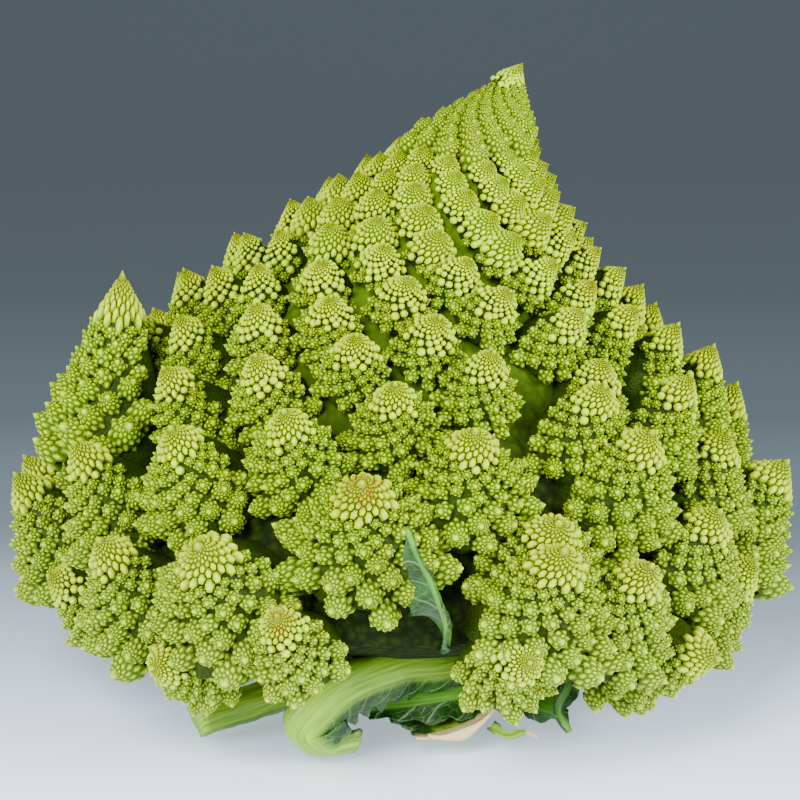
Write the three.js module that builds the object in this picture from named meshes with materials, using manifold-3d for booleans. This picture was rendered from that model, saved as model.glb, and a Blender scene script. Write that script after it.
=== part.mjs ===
// A romanesco head, as picked, standing on its cut stalk. Millimetres, +Z up, front towards -Y.
// The head is a dome of florets set by one spiral rule. Each floret is a cone of studs set by the same
// rule at its own scale. Leaf stumps stand round the stalk. The origin is on the ground, in the middle.

import * as THREE from 'three';
import { mergeVertices } from 'three/addons/utils/BufferGeometryUtils.js';
import Module from 'manifold-3d';

const wasm = await Module();
wasm.setup();

// Driving dimensions of the head
const APEX_HEIGHT = 161;
const FIRST_FLORET = 3; // distance down the flank from the apex
const LAST_FLORET = 166;
const GROWTH = 0.24; // floret width for each millimetre down the flank
const LARGEST_FLORET = 31;
const PACKING = 0.866; // hexagonal
const GOLDEN_ANGLE = -137.508;
const FIRST_TURN = 165;
const LEAN = 30; // how far the apex leans to the right
const LEAN_FROM = 95; // height where the lean begins
const FLANK = 44; // slope of the flank in degrees
const TIP_STEEPENING = 13;
const TIP_LENGTH = 25;
const SHOULDER = 102; // distance down the flank where it turns to vertical
const SHOULDER_LENGTH = 50;
const SHOULDER_TURN = 46;
const UPPER_TILT = 26; // angle of a floret from upright, in degrees
const FLANK_TILT = 11;
const LOWER_EDGE = 144;
const EDGE_LENGTH = 24;
const EDGE_TILT = 50;
const FLANK_STEP = 0.5; // the flank is walked in steps of this length
const SHOULDER_POWER = 1.5;
const LEAN_POWER = 1.6;
const INNER_GROWTH = 0.0135; // how quickly the spiral shrinks on past its first floret

// Driving dimensions of one floret, as shares of its width
const FLORET_REACH = 0.35; // its tip stands this far out of the dome
const FLORET_SINK = 0.7; // its root lies this far below the dome
const BUD_SINK = 0.45;
const FLORET_GIRTH = 0.46;
const FLORET_TAPER = 1.9;
const ROOM_AT_TIP = 0.52; // half the space between neighbours, at the tip and at the root
const ROOM_AT_ROOT = 0.4;
const STUD_LIFT = 0.2;
const STUD_DROP = 0.6; // how much of its lift a stud takes upwards
const LAST_STUD = 0.86; // share of the way down the floret
const BUD_RIM = 0.42;
const BUD_LIFT = 0.25;

// Size classes of floret
const LARGE = 21;
const MIDDLE = 12.5;
const SMALL = 6;
const NEAR_SPIRAL = 8;
const FAR_SPIRAL = 13;

// Stalk and gaps
const STALK_RADIUS = 17;
const STALK_HEIGHT = 34;
const HEEL_HEIGHT = 26; // underside of the head at its middle
const GAP = 0.45; // clear space between neighbouring pieces
const HOLLOW = { middle: [-7, -72, 15], half: [22, 30, 20] }; // under the front florets, over the curled leaf
const BLADE = 0.9; // thickness of a leaf away from its rib

// Florets that grew out of line. turn is in degrees round the head, slide in millimetres down the
// flank, reach in millimetres along the floret, tilt is its angle from upright in degrees, and swell is
// how many times as thick it is.
const OUT_OF_LINE = {
  247: { turn: 8 },
  260: { reach: -5 },
  268: { turn: 9 },
  274: { reach: 22, tilt: -9, swell: 1.45 },
  282: { reach: -9 },
  286: { reach: -9 },
  289: { reach: -7 },
  292: { slide: 6 },
  294: { reach: -7 },
  295: { slide: 5 },
  297: { turn: 17 },
  307: { reach: -8 },
  308: { reach: -10 },
};

const radians = (degrees) => (degrees * Math.PI) / 180;

function flankSlope(s) {
  const past = Math.max(0, (s - SHOULDER) / SHOULDER_LENGTH);
  return radians(FLANK + TIP_STEEPENING * Math.exp(-s / TIP_LENGTH) + SHOULDER_TURN * past ** SHOULDER_POWER);
}

// The dome's outline, walked down from the apex in short steps
function walkFlank(end) {
  const outline = [{ r: 0, z: APEX_HEIGHT }];
  for (let s = 0; s < end; s += FLANK_STEP) {
    const last = outline[outline.length - 1];
    const slope = flankSlope(s);
    outline.push({ r: last.r + Math.cos(slope) * FLANK_STEP, z: last.z - Math.sin(slope) * FLANK_STEP });
  }
  return outline;
}

const OUTLINE = walkFlank(LAST_FLORET + 35);

function flankPoint(s) {
  const place = Math.min(Math.max(s / FLANK_STEP, 0), OUTLINE.length - 2);
  const low = Math.floor(place);
  const part = place - low;
  const a = OUTLINE[low];
  const b = OUTLINE[low + 1];
  return { r: a.r + (b.r - a.r) * part, z: a.z + (b.z - a.z) * part };
}

function leanAt(z) {
  return LEAN * Math.max(0, (z - LEAN_FROM) / (APEX_HEIGHT - LEAN_FROM)) ** LEAN_POWER;
}

function leanAngle(z) {
  return Math.atan2(leanAt(z + 1) - leanAt(z - 1), 2);
}

const floretWidth = (s) => Math.min(GROWTH * s, LARGEST_FLORET);

// Distance down the flank of every floret: each takes up its own area of the dome
function floretDistances() {
  const distances = [];
  let s = FIRST_FLORET;
  while (s < LAST_FLORET) {
    distances.push(s);
    s += (PACKING * floretWidth(s) ** 2) / (2 * Math.PI * flankPoint(s).r);
  }
  return distances;
}

const DISTANCES = floretDistances();

// Florets stand more upright high on the head, and turn down at its lower edge
function floretTilt(s) {
  const edge = Math.min(Math.max((s - LOWER_EDGE) / EDGE_LENGTH, 0), 1);
  return UPPER_TILT + FLANK_TILT * (s / LOWER_EDGE) ** 3 + EDGE_TILT * edge * edge * (3 - 2 * edge);
}

// Florets are named by their place in the spiral, and the spiral runs on past both ends of the head
function distanceOf(index) {
  if (index < 0) {
    return DISTANCES[0] * Math.exp(index * INNER_GROWTH);
  }
  const last = DISTANCES.length - 1;
  const step = DISTANCES[last] - DISTANCES[last - 1];
  return index > last ? DISTANCES[last] + step * (index - last) : DISTANCES[index];
}

function floret(index) {
  const change = { turn: 0, slide: 0, reach: 0, swell: 1, ...OUT_OF_LINE[index] };
  const s = distanceOf(index) + change.slide;
  const width = floretWidth(s);
  const { r, z } = flankPoint(s);
  const turn = radians(FIRST_TURN + index * GOLDEN_ANGLE + change.turn);
  const outward = new THREE.Vector3(Math.sin(turn), -Math.cos(turn), 0);
  const tilt = radians(change.tilt ?? floretTilt(s));
  const axis = outward.clone().multiplyScalar(Math.sin(tilt));
  axis.z = Math.cos(tilt);
  axis.applyAxisAngle(new THREE.Vector3(0, 1, 0), leanAngle(z));
  const centre = outward.clone().multiplyScalar(r);
  centre.x += leanAt(z);
  centre.z = z;
  const sink = BUD_SINK + (FLORET_SINK - BUD_SINK) * Math.min(1, width / LARGE);
  const tip = centre.clone().addScaledVector(axis, FLORET_REACH * width + change.reach);
  const root = centre.clone().addScaledVector(axis, -sink * width);
  const across = new THREE.Vector3().crossVectors(axis, outward).normalize();
  const down = new THREE.Vector3().crossVectors(across, axis).normalize();
  const length = tip.distanceTo(root);
  return { index, width, swell: change.swell, axis, across, down, tip, root, length };
}

const angleRound = ({ tip, down, across }, point) => {
  const arm = point.clone().sub(tip);
  return Math.atan2(arm.dot(across), arm.dot(down));
};

// The skin is one list of corners and faces that all the florets share
const skin = { corners: [], faces: [], known: new Map() };

function corner(key, point) {
  if (!skin.known.has(key)) {
    skin.known.set(key, skin.corners.length);
    skin.corners.push(point());
  }
  return skin.known.get(key);
}

const shortTurn = (steps) => {
  const turn = (steps * GOLDEN_ANGLE) % 360;
  return turn > 180 ? turn - 360 : turn < -180 ? turn + 360 : turn;
};

// The six valleys round point i of a spiral lattice, as the kind and the first point of each
function valleysRound(i, near, far) {
  return [
    ['a', i],
    ['b', i],
    ['a', i - near],
    ['b', i - near - far],
    ['a', i - near - far],
    ['b', i - far],
  ];
}

// A valley lies between point i, its sum neighbour and its near or far neighbour
function valleyPoints(kind, i, near, far) {
  return [i, i + near + far, i + (kind === 'a' ? near : far)];
}

function areaOf(bloom, ring) {
  const area = new THREE.Vector3();
  ring.forEach((c, k) => {
    const next = skin.corners[ring[(k + 1) % ring.length]];
    area.add(skin.corners[c].clone().sub(bloom.root).cross(next.clone().sub(bloom.root)));
  });
  return area;
}

// The same ring, turned to run anticlockwise as seen from the floret's tip
function upright(bloom, ring) {
  return areaOf(bloom, ring).dot(bloom.axis) > 0 ? ring : [...ring].reverse();
}

// Angle of each corner of a floret's outer ring, round the ring's own middle and in its own plane,
// because the lowest florets stand out sideways from their ring
function anglesInRing(bloom, ring) {
  const normal = areaOf(bloom, ring).normalize();
  const middle = new THREE.Vector3();
  ring.forEach((c) => middle.addScaledVector(skin.corners[c], 1 / ring.length));
  const across = bloom.across.clone().addScaledVector(normal, -bloom.across.dot(normal)).normalize();
  const down = new THREE.Vector3().crossVectors(across, normal);
  return ring.map((c) => {
    const arm = skin.corners[c].clone().sub(middle);
    return Math.atan2(arm.dot(across), arm.dot(down));
  });
}

function fan(centre, ring) {
  ring.forEach((c, k) => skin.faces.push([centre, c, ring[(k + 1) % ring.length]]));
}

// Rims left open by a list of faces, each as a ring of corners
function openRims(faces) {
  const next = new Map();
  for (const face of faces) {
    face.forEach((a, k) => {
      const b = face[(k + 1) % 3];
      if (next.get(b) !== undefined && next.get(b).delete(a)) {
        return;
      }
      next.set(a, (next.get(a) ?? new Set()).add(b));
    });
  }
  const rims = [];
  for (const [first, ends] of next) {
    if (ends.size === 0) {
      continue;
    }
    const rim = [];
    let at = first;
    while (next.get(at).size > 0) {
      rim.push(at);
      const [to] = next.get(at);
      next.get(at).delete(to);
      at = to;
    }
    rims.push(rim);
  }
  return rims;
}

// Joins an outer ring to an inner ring, both running the same way round the floret
function zip(bloom, outer, inner) {
  const turnFrom = (from, to) => {
    const turn = (to - from) % (2 * Math.PI);
    return turn < 0 ? turn + 2 * Math.PI : turn;
  };
  const outerAngles = anglesInRing(bloom, outer);
  const start = outerAngles[0];
  const angles = inner.map((c) => angleRound(bloom, skin.corners[c]));
  const first = angles.map((angle, k) => [turnFrom(start, angle), k]).sort((a, b) => a[0] - b[0])[0][1];
  const turned = (list) => list.map((_, k) => list[(first + k) % list.length]);
  const innerRing = turned(inner);
  const unroll = (ring) => {
    let total = turnFrom(start, ring[0]);
    return [...ring, ring[0]].map((angle, k) => {
      if (k > 0) {
        const step = angle - ring[k - 1];
        total += Math.atan2(Math.sin(step), Math.cos(step));
      }
      return total;
    });
  };
  const outerTurn = unroll(outerAngles);
  const innerTurn = unroll(turned(angles));
  let o = 0;
  let n = 0;
  while (o < outer.length || n < innerRing.length) {
    const outerCorner = outer[o % outer.length];
    const innerCorner = innerRing[n % innerRing.length];
    const takeOuter =
      n >= innerRing.length || (o < outer.length && outerTurn[o + 1] < innerTurn[n + 1]);
    if (takeOuter) {
      o += 1;
      skin.faces.push([outerCorner, outer[o % outer.length], innerCorner]);
    } else {
      n += 1;
      skin.faces.push([outerCorner, innerRing[n % innerRing.length], innerCorner]);
    }
  }
}

// A point of a floret: share of the way from its tip to its root, angle round it, and lift
function floretPoint({ tip, axis, down, across, width, swell, length }, share, angle, lift) {
  const room = swell * width * (ROOM_AT_TIP + (ROOM_AT_ROOT - ROOM_AT_TIP) * share);
  const girth = swell * width * FLORET_GIRTH * (1 - Math.exp(-FLORET_TAPER * share));
  const radius = Math.min(girth + lift * share * width, room);
  return tip
    .clone()
    .addScaledVector(down, radius * Math.cos(angle))
    .addScaledVector(across, radius * Math.sin(angle))
    .addScaledVector(axis, -length * share * (1 - lift * STUD_DROP));
}

// A floret as a cone of studs, larger than life. Every stud is six triangles that meet at its peak.
function studdedFloret(bloom, ring, count, near, far, growth) {
  const shareOf = (j) => LAST_STUD * Math.exp((j - count) * growth);
  const faces = [];
  for (let j = 0; j < count; j++) {
    const peak = corner(`${bloom.index}peak${j}`, () =>
      floretPoint(bloom, shareOf(j), radians(j * GOLDEN_ANGLE), STUD_LIFT),
    );
    const hollow = valleysRound(j, near, far).map(([kind, first]) =>
      corner(`${bloom.index}${kind}${first}`, () => {
        const points = valleyPoints(kind, first, near, far);
        const share = points.reduce((sum, point) => sum + shareOf(point), 0) / 3;
        const turns = points.map((point) => shortTurn(point - first));
        const angle = first * GOLDEN_ANGLE + turns.reduce((sum, turn) => sum + turn, 0) / 3;
        return floretPoint(bloom, share, radians(angle), 0);
      }),
    );
    const around = upright(bloom, hollow);
    around.forEach((c, k) => faces.push([peak, c, around[(k + 1) % 6]]));
  }
  skin.faces.push(...faces);
  const height = (rim) => rim.reduce((sum, c) => sum + skin.corners[c].dot(bloom.axis), 0) / rim.length;
  const rims = openRims(faces).sort((a, b) => height(b) - height(a));
  const crown = corner(`${bloom.index}tip`, () => bloom.tip.clone());
  fan(crown, upright(bloom, rims[0]));
  zip(bloom, ring, upright(bloom, rims[rims.length - 1]));
}

// A young floret is still a round bud
function bud(bloom, ring) {
  const middle = ring.map((c, k) => {
    const angle = angleRound(bloom, skin.corners[c]);
    return corner(`${bloom.index}bud${k}`, () => floretPoint(bloom, BUD_RIM, angle, BUD_LIFT));
  });
  ring.forEach((c, k) => {
    const next = (k + 1) % ring.length;
    skin.faces.push([c, ring[next], middle[k]], [ring[next], middle[next], middle[k]]);
  });
  fan(corner(`${bloom.index}tip`, () => bloom.tip.clone()), middle);
}

function headValley(kind, first) {
  return corner(`head${kind}${first}`, () => {
    const points = valleyPoints(kind, first, NEAR_SPIRAL, FAR_SPIRAL);
    const sum = points.reduce((total, point) => total.add(floret(point).root), new THREE.Vector3());
    return sum.divideScalar(3);
  });
}

function curdSolid() {
  DISTANCES.forEach((_, index) => {
    const bloom = floret(index);
    const valleys = valleysRound(index, NEAR_SPIRAL, FAR_SPIRAL);
    const ring = upright(
      bloom,
      valleys.map(([kind, first]) => headValley(kind, first)),
    );
    if (bloom.width > LARGE) {
      studdedFloret(bloom, ring, 11, 3, 5, 0.12);
    } else if (bloom.width > MIDDLE) {
      studdedFloret(bloom, ring, 7, 2, 3, 0.19);
    } else if (bloom.width > SMALL) {
      bud(bloom, ring);
    } else {
      fan(corner(`${index}tip`, () => bloom.tip), ring);
    }
  });
  const height = (rim) => rim.reduce((sum, c) => sum + skin.corners[c].z, 0) / rim.length;
  const rims = openRims(skin.faces).sort((a, b) => height(b) - height(a));
  const apex = skin.corners.push(new THREE.Vector3(LEAN, 0, APEX_HEIGHT)) - 1;
  const heel = skin.corners.push(new THREE.Vector3(0, 0, HEEL_HEIGHT)) - 1;
  fan(apex, [...rims[0]].reverse());
  fan(heel, [...rims[1]].reverse());
  return solidOf(skin.corners, skin.faces);
}

function solidOf(corners, faces) {
  return new wasm.Manifold(
    new wasm.Mesh({
      numProp: 3,
      vertProperties: new Float32Array(corners.flatMap((p) => p.toArray())),
      triVerts: new Uint32Array(faces.flat()),
    }),
  );
}

// Only the outer skin is kept, so that what a cut leaves loose is dropped
function geometryOf(solid) {
  const whole = solid.decompose().sort((a, b) => b.volume() - a.volume())[0];
  const mesh = whole.getMesh();
  const geometry = new THREE.BufferGeometry();
  geometry.setAttribute('position', new THREE.BufferAttribute(mesh.vertProperties, 3));
  geometry.setIndex([...mesh.triVerts]);
  const flat = geometry.toNonIndexed();
  flat.computeVertexNormals();
  return flat;
}

function solidOfGeometry(source) {
  const geometry = source.clone();
  geometry.deleteAttribute('normal');
  geometry.deleteAttribute('uv');
  const merged = mergeVertices(geometry, 1e-3);
  return new wasm.Manifold(
    new wasm.Mesh({
      numProp: 3,
      vertProperties: new Float32Array(merged.attributes.position.array),
      triVerts: new Uint32Array(merged.index.array),
    }),
  );
}

// The cut stump: flat below, where the head stands on it. grow makes the room that it needs.
function stalk(grow = 0) {
  const radius = STALK_RADIUS + grow;
  const outline = [
    [0, 0],
    [radius - 1.5, 0],
    [radius, 2],
    [radius - 0.8, STALK_HEIGHT * 0.5],
    [radius - 2, STALK_HEIGHT + grow],
    [0, STALK_HEIGHT + grow],
  ];
  const turned = new THREE.LatheGeometry(
    outline.map(([x, y]) => new THREE.Vector2(x, y)),
    24,
  );
  return solidOfGeometry(turned.rotateX(Math.PI / 2));
}

const vector = ([x, y, z]) => new THREE.Vector3(x, y, z);

// A leaf or a leaf stump along a spine. Its front faces from the first to the last of two directions.
// half is its half width along the spine, cup bends its edges forward, and wave ripples them.
function blade(leaf, grow = 0) {
  const { spine, faces, half, rib, cup = 0, wave = 0, waves = 2, steps = 10, columns = 4 } = leaf;
  const curve = new THREE.CatmullRomCurve3(spine.map(vector), false, 'centripetal');
  const reach = grow / curve.getLength();
  const corners = [];
  for (let i = 0; i <= steps; i++) {
    const t = i / steps;
    const along = curve.getTangent(t);
    const middle = curve.getPoint(t).addScaledVector(along, (t * 2 - 1) * reach * curve.getLength());
    const front = vector(faces[0]).lerp(vector(faces[1]), t);
    front.addScaledVector(along, -front.dot(along)).normalize();
    const side = new THREE.Vector3().crossVectors(along, front);
    const place = t * (half.length - 1);
    const low = Math.min(Math.floor(place), half.length - 2);
    const width = half[low] + (half[low + 1] - half[low]) * (place - low) + grow;
    for (let k = 0; k <= columns; k++) {
      const across = (2 * k) / columns - 1;
      const ripple = wave * Math.sin(waves * 2 * Math.PI * t + 2 * across) * Math.abs(across);
      const point = middle.clone().addScaledVector(side, width * across);
      point.addScaledVector(front, cup * across * across + ripple);
      const thick = BLADE / 2 + ((rib - BLADE) / 2) * (1 - Math.abs(across)) ** 2 + grow;
      corners.push(point.clone().addScaledVector(front, thick));
      corners.push(point.clone().addScaledVector(front, -thick));
    }
  }
  return solidOf(corners, bladeFaces(steps, columns));
}

// Front and back are split into the same triangles, and a strip closes the rim
function bladeFaces(steps, columns) {
  const at = (i, k, back) => 2 * (i * (columns + 1) + k) + back;
  const faces = [];
  for (let i = 0; i < steps; i++) {
    for (let k = 0; k < columns; k++) {
      const [a, b, c, d] = [at(i, k, 0), at(i, k + 1, 0), at(i + 1, k + 1, 0), at(i + 1, k, 0)];
      faces.push([a, b, c], [a, c, d], [a + 1, c + 1, b + 1], [a + 1, d + 1, c + 1]);
    }
  }
  const rim = [];
  for (let i = 0; i < steps; i++) rim.push(at(i, 0, 0));
  for (let k = 0; k < columns; k++) rim.push(at(steps, k, 0));
  for (let i = steps; i > 0; i--) rim.push(at(i, columns, 0));
  for (let k = columns; k > 0; k--) rim.push(at(0, k, 0));
  rim.forEach((a, n) => {
    const b = rim[(n + 1) % rim.length];
    faces.push([a, b, b + 1], [a, b + 1, a + 1]);
  });
  return faces;
}

const LEAVES = {
  curled_leaf: {
    spine: [[6, -17, 18], [11, -34, 20], [-3, -53, 26], [-17, -60, 21], [-25, -60, 11], [-21, -57, 4], [-12, -51, 2.4]],
    faces: [[0.1, -0.6, 0.8], [-0.6, -0.5, -0.8]],
    half: [4, 4.5, 5, 5.5, 6, 6, 4],
    rib: 3,
    cup: -1.5,
    steps: 16,
  },
  inner_leaf: {
    spine: [[9, -15.5, 12], [18, -28, 11.5], [14, -40, 12], [2, -44, 12], [-11, -44, 11]],
    faces: [[0.9, -0.4, 0.5], [-0.4, -1, 0.4]],
    half: [3, 4, 5, 5.5, 2],
    rib: 1.6,
    wave: 1.2,
  },
  torn_leaf: {
    spine: [[3.6, -17.4, 5], [8, -32, 4], [12, -46, 3], [14, -56, 2.6]],
    faces: [[0, -0.2, 1], [0.1, -0.3, 1]],
    half: [6, 10, 15, 13],
    rib: 3.4,
    cup: 1.2,
    wave: 0.8,
  },
  right_leaf: {
    spine: [[14.6, -10.3, 10], [30, -24, 10], [41, -34, 8], [46, -40, 11], [47, -43, 18]],
    faces: [[0.2, -0.4, 1], [0.3, -1, 0.2]],
    half: [5, 6, 6, 4, 1.2],
    rib: 2.6,
    cup: 1.5,
    wave: 0.6,
  },
  petiole_stub: {
    spine: [[-13.9, -11.1, 10], [-30, -27, 8], [-49, -43, 6.5]],
    faces: [[-0.2, -0.4, 1], [-0.2, -0.5, 1]],
    half: [5, 5, 5],
    rib: 6.5,
    cup: 1.5,
    steps: 6,
  },
  upright_leaf: {
    spine: [[3, -17.4, 30], [8, -36, 30], [10, -54, 31], [9, -66, 38], [6, -78, 49], [1, -85, 62], [0, -87, 67]],
    faces: [[-1, -0.3, 0.6], [-1, -0.9, 0.3]],
    half: [3, 3, 3.5, 4.5, 4, 2, 0.6],
    rib: 1.8,
    cup: 0.8,
  },
  left_leaf: {
    spine: [[-17.8, -1, 13], [-34, -13, 15], [-52, -24, 15], [-69, -31, 19]],
    faces: [[0, -0.8, 0.7], [-0.2, -0.9, 0.4]],
    half: [2.5, 3, 4.5, 1.2],
    rib: 1.6,
    wave: 0.8,
  },
  far_right_leaf: {
    spine: [[17.8, 1, 13], [36, -10, 13], [55, -21, 12], [74, -29, 15]],
    faces: [[0, -0.8, 0.7], [0.2, -0.9, 0.5]],
    half: [2.5, 3, 4.5, 1.2],
    rib: 1.6,
    wave: 0.8,
  },
  back_leaf_left: {
    spine: [[-9, 15.3, 8], [-22, 36, 8], [-36, 54, 12]],
    faces: [[0, 0.3, 1], [-0.1, 0.5, 1]],
    half: [5, 9, 7],
    rib: 4,
    cup: 1.5,
    wave: 0.6,
  },
  back_leaf_right: {
    spine: [[10.7, 14.2, 8], [24, 34, 9], [38, 50, 13]],
    faces: [[0, 0.3, 1], [0.1, 0.5, 1]],
    half: [5, 8, 6],
    rib: 4,
    cup: 1.5,
    wave: 0.6,
  },
};

const COLOURS = { curd: 0xb4c24a, stalk: 0xcfd6a2, leaf: 0x4f7a33, rib: 0x9fbf62 };
const PALE_LEAVES = ['curled_leaf', 'torn_leaf', 'petiole_stub'];

function mesh(name, solid, colour, roughness) {
  const material = new THREE.MeshStandardMaterial({ color: colour, roughness, metalness: 0 });
  const piece = new THREE.Mesh(geometryOf(solid), material);
  piece.name = name;
  return piece;
}

// The hollow between the front florets, where the curled leaf comes out
function hollow() {
  const egg = new THREE.SphereGeometry(1, 12, 8).scale(...HOLLOW.half).translate(...HOLLOW.middle);
  return solidOfGeometry(egg);
}

// The head gives way to the stalk and the leaves, and stays clear of them all round
function curd() {
  const rooms = [stalk(GAP), hollow(), ...Object.values(LEAVES).map((leaf) => blade(leaf, GAP))];
  return rooms.reduce((solid, room) => solid.subtract(room), curdSolid());
}

const model = new THREE.Group();
model.add(mesh('curd', curd(), COLOURS.curd, 0.6));
model.add(mesh('stalk', stalk(), COLOURS.stalk, 0.7));
for (const [name, leaf] of Object.entries(LEAVES)) {
  const colour = PALE_LEAVES.includes(name) ? COLOURS.rib : COLOURS.leaf;
  model.add(mesh(name, blade(leaf), colour, 0.5));
}

// The origin goes to the ground under the middle of the whole piece
const bounds = new THREE.Box3().setFromObject(model);
const middle = bounds.getCenter(new THREE.Vector3());
model.position.set(-middle.x, -middle.y, -bounds.min.z);
export default model;
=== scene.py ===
# A romanesco head on its cut stalk, dressed over its solids. Metres, +Z up, front towards -Y.
# The head is made by one spiral rule at three scales: florets on the dome, cones on each floret, and
# studs on each cone. Geometry Nodes set out the cones; the stalk and leaves are meshes made here.

import math
import random

import bpy
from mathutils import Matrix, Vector


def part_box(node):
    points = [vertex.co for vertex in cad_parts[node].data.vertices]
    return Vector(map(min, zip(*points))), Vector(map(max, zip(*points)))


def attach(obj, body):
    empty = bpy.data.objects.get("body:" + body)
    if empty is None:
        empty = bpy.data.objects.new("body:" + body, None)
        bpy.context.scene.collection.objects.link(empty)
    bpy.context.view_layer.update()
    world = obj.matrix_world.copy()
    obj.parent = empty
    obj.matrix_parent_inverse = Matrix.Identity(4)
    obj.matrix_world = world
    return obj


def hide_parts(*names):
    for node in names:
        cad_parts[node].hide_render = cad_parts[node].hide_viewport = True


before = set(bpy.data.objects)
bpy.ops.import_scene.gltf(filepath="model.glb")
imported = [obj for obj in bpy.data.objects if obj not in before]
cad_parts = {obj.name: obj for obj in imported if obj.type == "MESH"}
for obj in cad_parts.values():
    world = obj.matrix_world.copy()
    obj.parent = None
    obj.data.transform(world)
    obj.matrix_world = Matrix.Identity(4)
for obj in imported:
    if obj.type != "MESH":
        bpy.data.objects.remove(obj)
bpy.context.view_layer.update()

MM = 0.001

# The head's rule, in millimetres and degrees, as its solids have it
APEX_HEIGHT = 161.0
FLANK_STEP = 0.5
FIRST_FLORET = 3.0
LAST_FLORET = 166.0
GROWTH = 0.24
LARGEST_FLORET = 31.0
PACKING = 0.866
GOLDEN_ANGLE = -137.508
FIRST_TURN = 165.0
LEAN = 30.0
LEAN_FROM = 95.0
FLANK = 44.0
TIP_STEEPENING = 13.0
TIP_LENGTH = 25.0
SHOULDER = 102.0
SHOULDER_LENGTH = 50.0
SHOULDER_TURN = 46.0
UPPER_TILT = 26.0
FLANK_TILT = 11.0
LOWER_EDGE = 144.0
EDGE_LENGTH = 24.0
EDGE_TILT = 50.0
FLORET_REACH = 0.35
FLORET_SINK = 0.7
BUD_SINK = 0.45
LARGE = 21.0
MIDDLE = 12.5
SMALL = 6.0

# Florets that grew out of line, as in the solids
OUT_OF_LINE = {
    247: {"turn": 8},
    260: {"reach": -5},
    268: {"turn": 9},
    274: {"reach": 22, "tilt": -9},
    282: {"reach": -9},
    286: {"reach": -9},
    289: {"reach": -7},
    292: {"slide": 6},
    294: {"reach": -7},
    295: {"slide": 5},
    297: {"turn": 17},
    307: {"reach": -8},
    308: {"reach": -10},
}

# Florets that grew thicker than their neighbours, which press against them
SWOLLEN = {
    268: 1.15, 274: 1.15, 276: 1.15, 279: 1.1, 281: 1.1,
    284: 1.32, 289: 1.1, 292: 1.25, 297: 1.2, 299: 1.15,
}

# Stunted florets under the front of the head, as shares of the usual size
STUNTED = {305: 0.72, 308: 0.85, 310: 0.72, 313: 0.8}

# How far any floret strays from the rule, in degrees
STRAY_TURN = 1.6
STRAY_TILT = 6.0
# Younger florets face further out than the solids' do
YOUNG_TILT = 11.0

# Florets with a browned tip
BROWNED = (239, 284, 305)

# One floret: its outline as shares of its width, and the spiral of studs and cones on it
FLORET_GIRTH = 1.6
FLORET_TAPER = 0.55
YOUNG_GIRTH = 1.0
YOUNG_TAPER = 1.05
FLORET_LENGTH = 1.3
# The visible florets reach this much deeper than the solids' do
DEEPER = 1.24
ALL_CONES = 199
TIP_STUDS = 100
YOUNG_TIP_STUDS = 166
# How far the studs of a floret's tip stand out, as a share of their depth
TIP_LIFT = 0.19
CONE_GROWTH = 0.0155
CONE_WIDTH = 0.39
LAST_CONES = 20
# Cones narrower than the first, in metres, are smooth buds; those wider than the second have more studs
COARSE_CONE = 0.0026
FINE_CONE = 0.0057
# How far cones stray, in degrees, and the range of their sizes
CONE_STRAY = 4.5
CONE_SIZES = (0.88, 1.16)
# Shapes of cones; the last value of each is painted shade, darkening the cone towards its foot
CONE_SHAPES = {
    "cone_1_coarse": {
        "studs": 14, "spirals": (3, 5), "growth": 0.085, "outline": (0.56, 1.8),
        "last": 0.85, "top": 0.62, "lift": 0.17, "painted_foot_shade": 0.3,
    },
    "cone_2_fine": {
        "studs": 38, "spirals": (5, 8), "growth": 0.04, "outline": (0.56, 1.8),
        "last": 0.86, "top": 0.64, "lift": 0.13, "painted_foot_shade": 0.35,
    },
    "cone_3_young": {
        "studs": 60, "spirals": (5, 8), "growth": 0.038, "outline": (0.53, 3.2),
        "last": 1.0, "top": 0.62, "lift": 0.15, "painted_foot_shade": 0.4,
    },
}

# The core lies this share of a floret's width below the dome, and has these rings under the head
CORE_SINK = 0.52
CORE_RINGS = 15
CORE_FROM = 6
CORE_TO = LAST_FLORET - 2
CORE_FOOT = ((57, 27), (34, 31))
CORE_MIDDLE = 32

# The floret at the very tip of the head, and its length as a share of its width
APEX_WIDTH = 6.5
APEX_LENGTH = 1.6

# The camera stands where the photograph was taken: pixels are 0.25 mm at the head
CAMERA_ELEVATION = math.radians(15)
CAMERA_DISTANCE = 0.96
CAMERA_LENS = 172.8
CAMERA_AIM_HEIGHT = 0.0758

SEED = 7


def head_middle():
    """The stalk stands under the middle of the head's spiral, so its box gives the rule's origin."""
    low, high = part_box("stalk")
    return Vector(((low[0] + high[0]) / 2, (low[1] + high[1]) / 2, 0))


MIDDLE_OF_HEAD = head_middle()


def linear(hex_colour):
    """An sRGB hex colour as linear red, green, blue and alpha."""
    channels = [int(hex_colour[i : i + 2], 16) / 255 for i in (1, 3, 5)]
    turned = [c / 12.92 if c <= 0.04045 else ((c + 0.055) / 1.055) ** 2.4 for c in channels]
    return (*turned, 1.0)


def flank_slope(s):
    past = max(0.0, (s - SHOULDER) / SHOULDER_LENGTH)
    return math.radians(FLANK + TIP_STEEPENING * math.exp(-s / TIP_LENGTH) + SHOULDER_TURN * past**1.5)


def walk_flank(end):
    """The dome's outline, walked down from the apex in small steps."""
    outline = [(0.0, APEX_HEIGHT)]
    s = 0.0
    while s < end:
        slope = flank_slope(s)
        r, z = outline[-1]
        outline.append((r + math.cos(slope) * FLANK_STEP, z - math.sin(slope) * FLANK_STEP))
        s += FLANK_STEP
    return outline


OUTLINE = walk_flank(LAST_FLORET + 35)


def flank_point(s):
    place = min(max(s / FLANK_STEP, 0), len(OUTLINE) - 2)
    low = math.floor(place)
    part = place - low
    (r0, z0), (r1, z1) = OUTLINE[low], OUTLINE[low + 1]
    return r0 + (r1 - r0) * part, z0 + (z1 - z0) * part


def lean_at(z):
    return LEAN * max(0.0, (z - LEAN_FROM) / (APEX_HEIGHT - LEAN_FROM)) ** 1.6


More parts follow.
